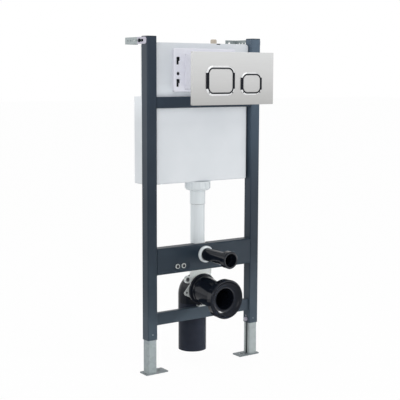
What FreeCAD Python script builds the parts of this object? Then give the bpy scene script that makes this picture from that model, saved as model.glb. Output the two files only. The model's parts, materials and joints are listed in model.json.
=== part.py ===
import FreeCAD, Part
import math
import os

os.makedirs("parts", exist_ok=True)
V = FreeCAD.Vector

# Clearances: between pieces that fit, between pieces that seat, and how far a cut runs past a face
fit_gap = 0.25
seat_gap = 0.3
plug_gap = 0.1
past = 1.0

# Steel frame: square tube uprights with their front faces at y = 0 and the floor at z = 0
frame_width = 472.0
frame_height = 1145.0
tube = 38.0
tube_corner = 4.0
tube_wall = 2.0
upright_foot = 120.0
cap_height = 2.5
cap_plug = 6.0
cap_wall = 2.0
cap_edge = 1.2
upright_x = frame_width / 2 - tube / 2
inner_face = frame_width / 2 - tube

# Heights of the pan's connections above the floor
waste_height = 267.5
stud_rise = 97.5
flush_rise = 129.5
stud_height = waste_height + stud_rise
flush_height = waste_height + flush_rise

# Pan studs: the two standard spacings, the bushes and the long pocket around each pair
stud_narrow = 180.0
stud_wide = 230.0
stud_hole = 6.0
bush_r = 8.5
bush_proud = 1.5
bush_deep = 20.0
bush_edge = 0.8
pocket_out = 19.0
pocket_in = 25.0
pocket_tall = 22.0
pocket_edge = 0.8
stud_plate_thick = 4.0
stud_plate_edge = 7.0
stud_plate_corner = 5.0

# Cross members
upper_bar_drop = 200.0
upper_bar_tall = 38.0
upper_bar_deep = 15.0
beam_under_studs = 23.0
beam_over_flush = 36.0
beam_deep = 42.0
beam_wall = 3.0
beam_lip = 12.0
beam_corner = 5.0
lower_bar_tall = 42.0
lower_bar_front = 8.0
lower_bar_deep = 20.0
bar_wall = 2.0
bar_corner = 2.5
upper_bar_high = frame_height - upper_bar_drop
upper_bar_low = upper_bar_high - upper_bar_tall
beam_low = stud_height - beam_under_studs
beam_high = flush_height + beam_over_flush
lower_bar_back = lower_bar_front + lower_bar_deep

# Telescopic legs and foot plates
leg_gap = 0.4
leg_wall = 2.5
leg_corner = 3.0
leg_slot = 11.0
leg_overlap = 205.0
plate_thick = 4.0
plate_corner = 3.0
plate_outer = 10.0
plate_inner = 45.0
plate_front = 4.5
plate_back = 8.5
floor_hole = 5.5
floor_hole_in = 38.0
floor_hole_back = 3.0
clamp_rise = 12.0
clamp_hole = 4.5
leg_side = tube - 2 * tube_wall - 2 * leg_gap
clamp_height = upright_foot + clamp_rise

# Wall brackets: strap with a wall flange, and slotted plate, at each upright top
strap_drop = 3.0
strap_tall = 23.0
strap_thick = 2.5
strap_reach = 142.0
strap_flange = 50.0
strap_hole = 3.6
strap_holes = 4
strap_pitch = 18.0
strap_first = 30.0
wall_hole = 5.0
wall_hole_in = 8.0
slot_plate_front = 4.0
slot_plate_lap = 20.0
slot_plate_corner = 7.0
slot_inset = 16.0
slot_long = 27.0
slot_half = 4.5
tube_slot_long = 14.0
strap_high = frame_height - strap_drop
strap_low = strap_high - strap_tall
strap_middle = strap_high - strap_tall / 2
slot_front = slot_plate_front + slot_inset

# Access shaft and panel on the cistern front
shaft_half = 84.0
shaft_tall_half = 58.5
shaft_drop = 6.5
shaft_wall = 2.5
shaft_corner = 5.0
panel_side = 44.0
panel_tall_half = 73.0
panel_proud = 14.0
panel_wall = 3.0
panel_corner = 7.0
panel_edge = 4.0
panel_hole = 6.0
panel_hole_drop = 12.0
key_inset = 16.0
key_rise = 37.0
key_half = 6.8
key_tail = 12.0
key_tail_step = 4.0
panel_half = shaft_half + panel_side

# Cistern: a tank that is wider behind the uprights, and a housing between them
house_drop = 20.0
house_gap = 2.5
house_round = 12.0
house_edge = 3.0
panel_drop = 18.0
neck_gap = 5.0
tank_inset = 10.0
tank_gap = 2.0
tank_deep = 88.0
tank_low = 650.0
tank_wall = 3.0
tank_corner = 8.0
tank_edge = 5.0
mouth_inset = 12.0
mouth_edge = 8.0
tank_front = upper_bar_deep + tank_gap
tank_back = tank_front + tank_deep
tank_half = frame_width / 2 - tank_inset
neck_half = inner_face - neck_gap
house_half = inner_face - house_gap
house_top = frame_height - house_drop
panel_front = tank_front - panel_proud
panel_middle = house_top - panel_drop - panel_tall_half
access_middle = panel_middle - shaft_drop

# Inlet on the cistern top
inlet_x = 74.5
inlet_y = 60.0
inlet_r = 10.8
inlet_tall = 15.5
inlet_edge = 2.5
inlet_bore = 6.0

# Flush plate, carrier, rings and buttons
flush_half = 166.0
flush_tall = 172.0
flush_drop = 27.5
flush_reach = 160.0
flush_thick = 10.0
flush_sheet = 2.5
flush_corner = 3.0
flush_edge = 1.0
carrier_inset = 16.0
carrier_inset_tall = 3.0
carrier_wall = 3.0
carrier_corner = 6.0
carrier_stand = 17.0
carrier_base = 5.0
ring_lip = 3.0
ring_fit = 0.2
plate_ring_proud = 3.5
plate_ring_edge = 3.0
button_gap = 0.3
button_corner = 16.0
button_proud = 4.5
button_deep = 9.0
button_wall = 2.5
button_edge = 1.3
large_x = -55.5
large_drop = 7.3
large_wide = 93.5
large_tall = 76.0
large_ring_wide = 10.5
small_x = 71.0
small_drop = 17.0
small_wide = 68.5
small_tall = 56.0
small_ring_wide = 9.2
flush_middle = panel_middle - flush_drop
flush_front = -flush_reach
flush_back = flush_front + flush_thick
carrier_half = flush_half - carrier_inset
carrier_tall_half = flush_tall / 2 - carrier_inset_tall
carrier_base_front = flush_front + carrier_stand
carrier_base_back = carrier_base_front + carrier_base
large_button = (large_x, flush_middle - large_drop, large_wide, large_tall, large_ring_wide)
small_button = (small_x, flush_middle - small_drop, small_wide, small_tall, small_ring_wide)

# Flush pipe
pipe_r = 25.0
pipe_wall = 3.0
pipe_bend = 45.0
pipe_lead = 3.0
pipe_proud = 6.0
pipe_room = 4.0
nut_r = 45.0
nut_tall = 33.0
nut_foot_r = 31.0
nut_step_r = 40.0
nut_step = 3.0
nut_slope = 9.0
nut_notches = 12
nut_notch_wide = 7.0
nut_notch_deep = 1.6
nut_band = 4.0
sleeve_tall = 47.0
sleeve_wall = 2.0
sleeve_lap = 20.0
collar_r = 29.0
collar_thick = 10.0
collar_edge = 3.0
web_gap = 1.0
connector_r = 22.6
connector_front_r = 22.0
connector_bore = 18.0
connector_plug = 9.0
connector_reach = 150.0
cuff_r = 29.5
cuff_bore = 23.0
cuff_deep = 25.0
cuff_lap = 7.0
cuff_slope = 8.0
cuff_edge = 2.5
pipe_y = pipe_bend + pipe_lead
nut_low = tank_low - nut_tall
sleeve_low = nut_low - sleeve_tall
sleeve_r = pipe_r + sleeve_wall
pipe_split = sleeve_low + sleeve_lap
elbow_top = flush_height + pipe_bend
connector_end = -connector_reach
cuff_start = connector_end + cuff_deep + cuff_lap

# Waste: bend behind the lower crossbar, joint ring, saddle on the bar and hanger under the beam
waste_r = 51.0
waste_wall = 4.0
knee_bend = 28.0
join_room = 4.0
waste_low = 41.0
spigot_r = 50.0
spigot_room = 7.0
ring_r = 57.0
ring_deep = 6.5
ring_edge = 2.0
saddle_base = 1.5
saddle_half = 20.0
saddle_deep = 16.0
tooth_thick = 2.2
tooth_tall = 5.0
teeth = 4
cradle_tall = 9.0
hanger_thick = 3.0
hanger_left = 52.0
hanger_right = 39.0
hanger_band = 5.0
hanger_cut = 25.5
hanger_foot = 18.0
ear_x = 64.0
ear_rise = 43.0
ear_r = 13.2
ear_deep = 7.0
eye_r = 7.5
lug_root = 54.0
lug_top = 22.0
lug_reach = 77.0
lug_nose = 4.5
lug_chin = 12.5
lug_tip = 46.0
lug_hole = 3.2
lug_hole_in = 11.0
lower_bar_high = waste_height - ring_r - saddle_base
lower_bar_low = lower_bar_high - lower_bar_tall
waste_y = lower_bar_back + waste_r
knee_y = waste_y - knee_bend
knee_z = waste_height - knee_bend
spigot_join = waste_height - waste_r - join_room
saddle_back = lower_bar_front + saddle_deep
spigot_top = lower_bar_low - spigot_room
ring_front = lower_bar_front + tooth_thick + seat_gap
ring_back = ring_front + ring_deep
hanger_front = ring_back + seat_gap
hanger_back = hanger_front + hanger_thick

# Pan connector: plugs into the bend, and its flared front lies a little lower than its back
pan_drop = 9.0
pan_reach = 130.0
pan_wall = 5.0
plug_deep = 28.0
plug_wall = 3.0
pan_shoulder = 4.0
pan_body_r = 49.0
pan_neck_r = 46.0
pan_neck_step = 1.2
pan_flare = 26.0
pan_flare_r = 60.0
pan_flare_edge = 6.0
pan_rim_r = 68.0
pan_rim_deep = 20.0
pan_rim_edge = 3.0
pan_lip = 6.0
pan_mouth_r = 37.5
pan_mouth_deep = 30.0
pan_dish = 13.0
pan_bowl = 4.5
pan_height = waste_height - pan_drop
pan_front = -pan_reach
pan_rim_back = pan_front + pan_rim_edge + pan_rim_deep
pan_neck = pan_rim_back + pan_flare

# The part's origin: middle of the left wall flange, on its wall side
origin = V(strap_flange / 2 - frame_width / 2, strap_reach, strap_middle)


def box(x0, x1, y0, y1, z0, z1):
    return Part.makeBox(x1 - x0, y1 - y0, z1 - z0, V(x0, y0, z0))


def cyl(r, start, axis, length):
    return Part.makeCylinder(r, length, V(*start), V(*axis))


def rounded_face(a0, a1, b0, b1, r):
    """A rounded rectangle in the XY plane."""
    k = r * (1 - math.sqrt(0.5))
    lines = [((a0 + r, b0), (a1 - r, b0)), ((a1, b0 + r), (a1, b1 - r)),
             ((a1 - r, b1), (a0 + r, b1)), ((a0, b1 - r), (a0, b0 + r))]
    corners = [(a1 - k, b0 + k), (a1 - k, b1 - k), (a0 + k, b1 - k), (a0 + k, b0 + k)]
    edges = []
    for i in range(4):
        (p, q), (n, _) = lines[i], lines[(i + 1) % 4]
        edges.append(Part.makeLine(V(*p, 0), V(*q, 0)))
        edges.append(Part.Arc(V(*q, 0), V(*corners[i], 0), V(*n, 0)).toShape())
    return Part.Face(Part.Wire(edges))


def upright_prism(x0, x1, y0, y1, r, z0, z1):
    """A rounded rectangle in plan, pulled up."""
    face = rounded_face(x0, x1, y0, y1, r)
    face.translate(V(0, 0, z0))
    return face.extrude(V(0, 0, z1 - z0))


def front_prism(x0, x1, z0, z1, r, y0, y1):
    """A rounded rectangle seen from the front, pulled back."""
    face = rounded_face(x0, x1, z0, z1, r)
    face.rotate(V(0, 0, 0), V(1, 0, 0), 90)
    face.translate(V(0, y0, 0))
    return face.extrude(V(0, y1 - y0, 0))


def side_prism(y0, y1, z0, z1, r, x0, x1):
    """A rounded rectangle seen from the side, pulled across."""
    face = rounded_face(y0, y1, z0, z1, r)
    face.rotate(V(0, 0, 0), V(1, 1, 1), 120)
    face.translate(V(x0, 0, 0))
    return face.extrude(V(x1 - x0, 0, 0))


def side_slot(y0, y1, z, half, x0, x1):
    """An obround hole that runs along Y, cut through in X."""
    body = box(x0, x1, y0 + half, y1 - half, z - half, z + half)
    body = body.fuse(cyl(half, (x0, y0 + half, z), (1, 0, 0), x1 - x0))
    return body.fuse(cyl(half, (x0, y1 - half, z), (1, 0, 0), x1 - x0))


def front_slot(x0, x1, z, half, y0, y1):
    """An obround hole that runs along X, cut through in Y."""
    body = box(x0 + half, x1 - half, y0, y1, z - half, z + half)
    body = body.fuse(cyl(half, (x0 + half, y0, z), (0, 1, 0), y1 - y0))
    return body.fuse(cyl(half, (x1 - half, y0, z), (0, 1, 0), y1 - y0))


def revolved(wire, centre, axis):
    """Revolves a closed wire that lies in the XZ plane, then turns its axis and puts it in place."""
    body = Part.Face(wire).revolve(V(0, 0, 0), V(0, 0, 1), 360)
    if axis == "y":
        body.rotate(V(0, 0, 0), V(1, 0, 0), -90)
    body.translate(V(*centre))
    return body


def turned(profile, centre, axis):
    """Revolves a closed list of (radius, distance along the axis) points."""
    pts = [V(r, 0, d) for r, d in profile]
    pts.append(pts[0])
    return revolved(Part.makePolygon(pts), centre, axis)


def ring_section(r, wall, centre, axis):
    """A flat ring to be pulled or turned into pipe."""
    outer = Part.Face(Part.Wire(Part.makeCircle(r, V(*centre), V(*axis))))
    return outer.cut(Part.Face(Part.Wire(Part.makeCircle(r - wall, V(*centre), V(*axis)))))


def front_edges(body, y):
    """The edges that lie in one plane across Y."""
    return [e for e in body.Edges if abs(e.BoundBox.YMax - y) < 0.01 and abs(e.BoundBox.YMin - y) < 0.01]


def mirrored(shape):
    return shape.mirror(V(0, 0, 0), V(1, 0, 0))


nodes = {}


# Uprights: hollow tubes with a bracket slot on the outer side and a clamp hole on the inner side
def make_upright():
    x0 = -frame_width / 2
    x1 = x0 + tube
    t = tube_wall
    top = frame_height - cap_height
    outer = upright_prism(x0, x1, 0, tube, tube_corner, upright_foot, top)
    bore = upright_prism(x0 + t, x1 - t, t, tube - t, tube_corner - t, upright_foot - past, top + past)
    body = outer.cut(bore)
    slot_end = slot_front + tube_slot_long
    body = body.cut(side_slot(slot_front, slot_end, strap_middle, slot_half, x0 - past, x0 + t + past))
    return body.cut(cyl(clamp_hole, (x1 - t - past, tube / 2, clamp_height), (1, 0, 0), t + 2 * past))


def make_cap():
    x0 = -frame_width / 2
    x1 = x0 + tube
    seat = frame_height - cap_height
    lid = upright_prism(x0, x1, 0, tube, tube_corner, seat, frame_height)
    lid = lid.makeChamfer(cap_edge, [e for e in lid.Edges if e.BoundBox.ZMin > frame_height - 0.01])
    g = tube_wall + fit_gap
    w = g + cap_wall
    plug = upright_prism(x0 + g, x1 - g, g, tube - g, tube_corner - tube_wall, seat - cap_plug, seat)
    plug = plug.cut(box(x0 + w, x1 - w, w, tube - w, seat - cap_plug - past, seat))
    return lid.fuse(plug).removeSplitter()


nodes["left_upright"] = make_upright()
nodes["right_upright"] = mirrored(make_upright())
nodes["left_top_cap"] = make_cap()
nodes["right_top_cap"] = mirrored(make_cap())


# Cross members between the uprights
def hollow_bar(y0, y1, z0, z1):
    t = bar_wall
    outer = side_prism(y0, y1, z0, z1, bar_corner, -inner_face, inner_face)
    return outer.cut(box(-inner_face - past, inner_face + past, y0 + t, y1 - t, z0 + t, z1 - t))


def make_beam():
    t = beam_wall
    y1 = beam_deep
    ends = inner_face + past
    body = side_prism(0, y1, beam_low, beam_high, beam_corner, -inner_face, inner_face)
    body = body.cut(box(-ends, ends, t, y1 - t, beam_low + t, beam_high - t))
    body = body.cut(box(-ends, ends, y1 - t - past, y1 + past, beam_low + beam_lip, beam_high - beam_lip))
    body = body.cut(cyl(pipe_r + web_gap, (0, -past, flush_height), (0, 1, 0), t + 2 * past))
    side = pipe_r + pipe_room
    body = body.cut(box(-side, side, pipe_y - side, y1 + past, flush_height, beam_high + past))
    x0 = -stud_wide / 2 - pocket_out
    x1 = -stud_narrow / 2 + pocket_in
    pocket = front_slot(x0, x1, stud_height, pocket_tall / 2, -past, t + past)
    body = body.cut(pocket).cut(mirrored(pocket))
    low = stud_height - pocket_tall / 2 - 0.01
    high = stud_height + pocket_tall / 2 + 0.01
    rims = [e for e in front_edges(body, 0) if e.BoundBox.ZMin > low and e.BoundBox.ZMax < high]
    return body.makeChamfer(pocket_edge, rims)


def make_stud_plate():
    x0 = -stud_wide / 2 - pocket_out - stud_plate_edge
    x1 = -stud_narrow / 2 + pocket_in + stud_plate_edge
    half = pocket_tall / 2 + stud_plate_edge
    y0 = beam_wall
    y1 = y0 + stud_plate_thick
    body = front_prism(x0, x1, stud_height - half, stud_height + half, stud_plate_corner, y0, y1)
    for spacing in (stud_narrow, stud_wide):
        body = body.cut(cyl(bush_r, (-spacing / 2, 0, stud_height), (0, 1, 0), beam_deep))
    return body


def make_stud_bushes():
    front = -bush_proud
    profile = [(stud_hole, front), (bush_r - bush_edge, front), (bush_r, front + bush_edge),
               (bush_r, bush_deep), (stud_hole, bush_deep)]
    places = [(-spacing / 2, 0, stud_height) for spacing in (stud_narrow, stud_wide)]
    return Part.makeCompound([turned(profile, place, "y") for place in places])


nodes["upper_crossbar"] = hollow_bar(0, upper_bar_deep, upper_bar_low, upper_bar_high)
nodes["lower_crossbar"] = hollow_bar(lower_bar_front, lower_bar_back, lower_bar_low, lower_bar_high)
nodes["toilet_beam"] = make_beam()
nodes["left_stud_plate"] = make_stud_plate()
nodes["right_stud_plate"] = mirrored(make_stud_plate())
nodes["left_stud_bushes"] = make_stud_bushes()
nodes["right_stud_bushes"] = mirrored(make_stud_bushes())


# Telescopic legs: lipped channels with the slot facing inwards, on drilled foot plates
def make_leg():
    a = leg_side / 2
    b = a - leg_wall
    x = -upright_x
    y = tube / 2
    top = upright_foot + leg_overlap
    body = upright_prism(x - a, x + a, y - a, y + a, leg_corner, plate_thick, top)
    body = body.cut(box(x - b, x + b, y - b, y + b, plate_thick - past, top + past))
    return body.cut(box(x, x + a + past, y - leg_slot / 2, y + leg_slot / 2, plate_thick - past, top + past))


def make_foot_plate():
    a = leg_side / 2
    x = -upright_x
    y = tube / 2
    body = upright_prism(x - a - plate_outer, x + a + plate_inner, y - a - plate_front, y + a + plate_back,
                         plate_corner, 0, plate_thick)
    place = (x + floor_hole_in, y + floor_hole_back, -past)
    return body.cut(cyl(floor_hole, place, (0, 0, 1), plate_thick + 2 * past))


nodes["left_leg"] = make_leg()
nodes["right_leg"] = mirrored(make_leg())
nodes["left_foot_plate"] = make_foot_plate()
nodes["right_foot_plate"] = mirrored(make_foot_plate())


# Wall brackets: perforated strap with a wall flange, and the slotted plate on the upright's side
def make_strap():
    x0 = -frame_width / 2
    t = strap_thick
    arm = box(x0, x0 + t, tube, strap_reach, strap_low, strap_high)
    flange = box(x0, x0 + strap_flange, strap_reach - t, strap_reach, strap_low, strap_high)
    body = arm.fuse(flange).removeSplitter()
    corner = [e for e in body.Edges if e.BoundBox.XMax < x0 + 0.01 and e.BoundBox.YMin > strap_reach - 0.01]
    body = body.makeFillet(t, corner)
    for i in range(strap_holes):
        y = tube + strap_first + strap_pitch * i
        body = body.cut(cyl(strap_hole, (x0 - past, y, strap_middle), (1, 0, 0), t + 2 * past))
    x = x0 + strap_flange / 2 + wall_hole_in
    return body.cut(cyl(wall_hole, (x, strap_reach - t - past, strap_middle), (0, 1, 0), t + 2 * past))


def make_slot_plate():
    x1 = -frame_width / 2
    x0 = x1 - strap_thick
    body = box(x0, x1, slot_plate_front, tube + slot_plate_lap, strap_low, strap_high)
    nose = [e for e in body.Edges if e.BoundBox.YMax < slot_plate_front + 0.01 and e.BoundBox.ZLength < 0.01]
    body = body.makeFillet(slot_plate_corner, nose)
    slot_end = slot_front + slot_long
    return body.cut(side_slot(slot_front, slot_end, strap_middle, slot_half, x0 - past, x1 + past))


nodes["left_wall_strap"] = make_strap()
nodes["right_wall_strap"] = mirrored(make_strap())
nodes["left_slot_plate"] = make_slot_plate()
nodes["right_slot_plate"] = mirrored(make_slot_plate())


# Cistern: lower tank that is wider behind the uprights, and the upper housing between them
def tank_block(inset, z0, z1):
    """The tank's plan, drawn in by one wall or not, with its outward corners rounded."""
    a = tank_half - inset
    b = neck_half - inset
    y0 = tank_front + inset
    y1 = tube + inset
    y2 = tank_back - inset
    plan = [(-b, y0), (b, y0), (b, y1), (a, y1), (a, y2), (-a, y2), (-a, y1), (-b, y1)]
    pts = [V(x, y, z0) for x, y in plan]
    pts.append(pts[0])
    body = Part.Face(Part.makePolygon(pts)).extrude(V(0, 0, z1 - z0))
    outward = []
    for e in body.Edges:
        c = e.CenterOfMass
        if e.BoundBox.ZLength > 1 and (c.y < y0 + 0.01 or c.y > y2 - 0.01 or abs(c.x) > a - 0.01):
            outward.append(e)
    return body.makeFillet(tank_corner - inset, outward)


def make_tank():
    t = tank_wall
    body = tank_block(0, tank_low, upper_bar_high)
    body = body.makeFillet(tank_edge, [e for e in body.Edges if e.BoundBox.ZMax < tank_low + 0.01])
    body = body.cut(tank_block(t, tank_low + t, upper_bar_high - t))
    mouth = house_half - mouth_inset
    body = body.cut(box(-mouth, mouth, tank_front + mouth_edge, tank_back - mouth_edge,
                        upper_bar_high - t - past, upper_bar_high + past))
    return body.cut(cyl(pipe_r - pipe_wall, (0, pipe_y, tank_low - past), (0, 0, 1), t + 2 * past))


def make_house():
    t = tank_wall
    a = house_half
    low = upper_bar_high
    root = low - 2 * house_round
    body = front_prism(-a, a, root, house_top, house_round, tank_front, tank_back)
    body = body.makeFillet(house_edge, front_edges(body, tank_front))
    room = front_prism(-a + t, a - t, root, house_top - t, house_round - t, tank_front + t, tank_back - t)
    body = body.cut(room)
    body = body.cut(box(-a - past, a + past, tank_front - past, tank_back + past, root - past, low))
    s = shaft_half - shaft_wall
    h = shaft_tall_half - shaft_wall
    way_in = box(-s, s, tank_front - past, tank_front + t + past, access_middle - h, access_middle + h)
    body = body.cut(way_in)
    return body.cut(cyl(inlet_bore, (inlet_x, inlet_y, house_top - t - past), (0, 0, 1), t + 2 * past))


def make_inlet():
    h = inlet_tall
    r = inlet_r
    profile = [(0, 0), (r, 0), (r, h - inlet_edge), (r - inlet_edge, h), (0, h)]
    body = turned(profile, (inlet_x, inlet_y, house_top), "z")
    stem = cyl(inlet_bore - fit_gap, (inlet_x, inlet_y, house_top - tank_wall), (0, 0, 1), tank_wall)
    return body.fuse(stem).removeSplitter()


nodes["cistern_tank"] = make_tank()
nodes["cistern_housing"] = make_house()
nodes["inlet_cap"] = make_inlet()


# Access panel: shallow raised tray with keyholes each side of the shaft
def make_panel():
    t = panel_wall
    a = panel_half
    h = panel_tall_half
    m = panel_middle
    body = front_prism(-a, a, m - h, m + h, panel_corner, panel_front, tank_front)
    body = body.makeFillet(panel_edge, front_edges(body, panel_front))
    body = body.cut(box(-a + t, a - t, panel_front + t, tank_front + past, m - h + t, m + h - t))
    s = shaft_half + fit_gap
    g = shaft_tall_half + fit_gap
    c = access_middle
    body = body.cut(box(-s, s, panel_front - past, tank_front + past, c - g, c + g))
    y0 = panel_front - past
    y1 = panel_front + t + past
    k = key_half
    for side in (-1, 1):
        x = side * (panel_half - key_inset)
        body = body.cut(cyl(panel_hole, (x, y0, m - panel_hole_drop), (0, 1, 0), t + 2 * past))
        for z in (m + key_rise, m - key_rise):
            body = body.cut(box(x - k, x + k, y0, y1, z - k, z + k))
            body = body.cut(box(x - k, x + k - key_tail_step, y0, y1, z - k - key_tail, z))
    return body


def make_shaft():
    s = shaft_half
    h = shaft_tall_half
    m = access_middle
    t = shaft_wall
    front = flush_back + seat_gap
    body = front_prism(-s, s, m - h, m + h, shaft_corner, front, tank_front)
    return body.cut(front_prism(-s + t, s - t, m - h + t, m + h - t, shaft_corner - t,
                                front - past, tank_front + past))


nodes["access_panel"] = make_panel()
nodes["access_shaft"] = make_shaft()


# Flush plate, its carrier, the button rings and the buttons
def around(button, grow):
    """The rectangle of a button's face, grown on every side."""
    x, z, w, h, _ = button
    return x - w / 2 - grow, x + w / 2 + grow, z - h / 2 - grow, z + h / 2 + grow


def make_carrier():
    m = flush_middle
    a = carrier_half
    b = carrier_tall_half
    t = carrier_wall
    front = flush_front + flush_sheet
    body = front_prism(-a, a, m - b, m + b, carrier_corner, front, carrier_base_back)
    r = carrier_corner - t
    tray = front_prism(-a + t, a - t, m - b + t, m + b - t, r, front - past, carrier_base_front)
    body = body.cut(tray)
    s = shaft_half + fit_gap
    h = shaft_tall_half + fit_gap
    return body.cut(front_prism(-s, s, access_middle - h, access_middle + h, shaft_corner, front - past,
                                carrier_base_back + past))


def make_flush_plate():
    t = flush_sheet
    a = flush_half
    low = flush_middle - flush_tall / 2
    high = flush_middle + flush_tall / 2
    body = front_prism(-a, a, low, high, flush_corner, flush_front, flush_back)
    body = body.makeChamfer(flush_edge, front_edges(body, flush_front))
    body = body.cut(box(-a + t, a - t, flush_front + t, flush_back + past, low + t, high - t))
    for button in (large_button, small_button):
        r = button_corner + ring_lip
        body = body.cut(front_prism(*around(button, ring_lip), r, flush_front - past, flush_back + past))
    return body


def make_ring(button):
    wide = button[4]
    face = flush_front - plate_ring_proud
    body = front_prism(*around(button, wide), button_corner + wide, face, flush_front)
    body = body.makeChamfer(plate_ring_edge, front_edges(body, face))
    skirt = ring_lip - ring_fit
    body = body.fuse(front_prism(*around(button, skirt), button_corner + skirt, flush_front, flush_back))
    r = button_corner + button_gap
    hole = front_prism(*around(button, button_gap), r, face - past, flush_back + past)
    return body.cut(hole).removeSplitter()


def make_button(button):
    t = button_wall
    front = flush_front - button_proud
    body = front_prism(*around(button, 0), button_corner, front, front + button_deep)
    body = body.makeChamfer(button_edge, front_edges(body, front))
    back = front + button_deep + past
    return body.cut(front_prism(*around(button, -t), button_corner - t, front + t, back))


nodes["plate_carrier"] = make_carrier()
nodes["flush_plate"] = make_flush_plate()
nodes["large_ring"] = make_ring(large_button)
nodes["small_ring"] = make_ring(small_button)
nodes["large_button"] = make_button(large_button)
nodes["small_button"] = make_button(small_button)


# Flush pipe: notched nut, sleeve, straight pipe, long leg, bend, collar, connector and cuff
def make_nut():
    inner = pipe_r + fit_gap
    profile = [(inner, 0), (nut_foot_r, 0), (nut_step_r, nut_step), (nut_r, nut_slope), (nut_r, nut_tall),
               (inner, nut_tall)]
    body = turned(profile, (0, pipe_y, nut_low), "z")
    half = nut_notch_wide / 2
    notch = box(nut_r - nut_notch_deep, nut_r + past, pipe_y - half, pipe_y + half,
                nut_low + nut_slope, tank_low - nut_band)
    for i in range(nut_notches):
        one = notch.copy()
        one.rotate(V(0, pipe_y, 0), V(0, 0, 1), 360.0 * i / nut_notches)
        body = body.cut(one)
    return body


def upright_pipe(r, wall, y, z0, z1):
    return ring_section(r, wall, (0, y, z0), (0, 0, 1)).extrude(V(0, 0, z1 - z0))


def quarter_bend(r, wall, start, axis, centre):
    """A quarter turn of pipe from a start ring, about a level axis."""
    return ring_section(r, wall, start, axis).revolve(V(*centre), V(-1, 0, 0), 90)


def make_flush_bend():
    top = elbow_top
    mid = pipe_y - pipe_bend
    body = quarter_bend(pipe_r, pipe_wall, (0, pipe_y, top), (0, 0, 1), (0, mid, top))
    nose = ring_section(pipe_r, pipe_wall, (0, -pipe_proud, flush_height), (0, 1, 0))
    return body.fuse(nose.extrude(V(0, mid + pipe_proud, 0))).removeSplitter()


def make_collar():
    r = pipe_r + fit_gap
    n = connector_r + fit_gap
    step = -pipe_proud - seat_gap
    front = -collar_thick
    profile = [(n, front), (collar_r - collar_edge, front), (collar_r, front + collar_edge), (collar_r, 0),
               (r, 0), (r, step), (n, step)]
    return turned(profile, (0, 0, flush_height), "y")


def make_connector():
    plug = pipe_r - pipe_wall - plug_gap
    back = connector_plug - pipe_proud
    step = -pipe_proud
    front = connector_end + cuff_deep
    r = connector_front_r
    profile = [(connector_bore, back), (plug, back), (plug, step), (connector_r, step),
               (connector_r, -collar_thick), (r, cuff_start), (r, front), (connector_bore, front)]
    return turned(profile, (0, 0, flush_height), "y")


def make_cuff():
    n = connector_front_r + plug_gap / 2
    front = connector_end + cuff_deep
    r = cuff_r - cuff_edge
    profile = [(n, cuff_start), (r, cuff_start - cuff_slope / 2), (cuff_r, cuff_start - cuff_slope),
               (cuff_r, connector_end + cuff_edge), (r, connector_end), (cuff_bore, connector_end),
               (cuff_bore, front), (n, front)]
    return turned(profile, (0, 0, flush_height), "y")


nodes["outlet_nut"] = make_nut()
nodes["flush_sleeve"] = upright_pipe(sleeve_r, sleeve_wall, pipe_y, sleeve_low, nut_low)
nodes["flush_pipe"] = upright_pipe(pipe_r, pipe_wall, pipe_y, pipe_split, tank_low)
nodes["flush_leg"] = upright_pipe(pipe_r, pipe_wall, pipe_y, elbow_top, pipe_split)
nodes["flush_bend"] = make_flush_bend()
nodes["flush_collar"] = make_collar()
nodes["flush_connector"] = make_connector()
nodes["flush_cuff"] = make_cuff()


# Waste: bend, spigot, joint ring, pan connector, hanger plate and toothed saddle
def tight_knee(r):
    """A solid knee whose bend is tighter than the pipe, so its inner corner is a crease."""
    disc = Part.Face(Part.Wire(Part.makeCircle(r, V(0, knee_y, waste_height), V(0, 1, 0))))
    reach = r + past
    outer = box(-reach, reach, knee_y - past, knee_y + past, knee_z, waste_height + reach)
    body = disc.common(outer).Faces[0].revolve(V(0, knee_y, knee_z), V(-1, 0, 0), 90)
    body = body.fuse(cyl(r, (0, 0, waste_height), (0, 1, 0), knee_y))
    return body.fuse(cyl(r, (0, waste_y, spigot_join), (0, 0, 1), knee_z - spigot_join))


def make_waste_bend():
    return tight_knee(waste_r).cut(tight_knee(waste_r - waste_wall)).removeSplitter()


def make_spigot():
    thin = waste_wall - (waste_r - spigot_r)
    body = upright_pipe(waste_r, waste_wall, waste_y, spigot_top, spigot_join)
    return body.fuse(upright_pipe(spigot_r, thin, waste_y, waste_low, spigot_top)).removeSplitter()


def make_waste_ring():
    profile = [(waste_r, ring_front), (ring_r - ring_edge, ring_front), (ring_r, ring_front + ring_edge),
               (ring_r, ring_back), (waste_r, ring_back)]
    return turned(profile, (0, 0, waste_height), "y")


def leaning_cone(r0, y0, z0, r1, y1, z1):
    """A cone that leans from one height to another, with both ends cut square to the front."""
    start = V(0, y0, z0)
    run = V(0, y1 - y0, z1 - z0)
    over = r0 * abs(z1 - z0) / (y0 - y1) / run.Length + 0.02
    grow = (r1 - r0) * over
    cone = Part.makeCone(r0 - grow, r1 + grow, run.Length * (1 + 2 * over), start - run * over, run)
    reach = 2 * r0
    return cone.common(box(-reach, reach, y1, y0, z1 - reach, z0 + reach))


def make_bowl():
    """The hollow that rounds the connector's dish between its lip and its mouth."""
    lip = V(pan_rim_r - pan_lip, 0, pan_front)
    floor = V(pan_mouth_r, 0, pan_front + pan_dish)
    deeper = V(pan_dish, 0, lip.x - floor.x)
    deeper.normalize()
    arc = Part.Arc(lip, (lip + floor) / 2 + deeper * pan_bowl, floor).toShape()
    return revolved(Part.Wire([arc, Part.makeLine(floor, lip)]), (0, 0, pan_height), "y")


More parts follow.
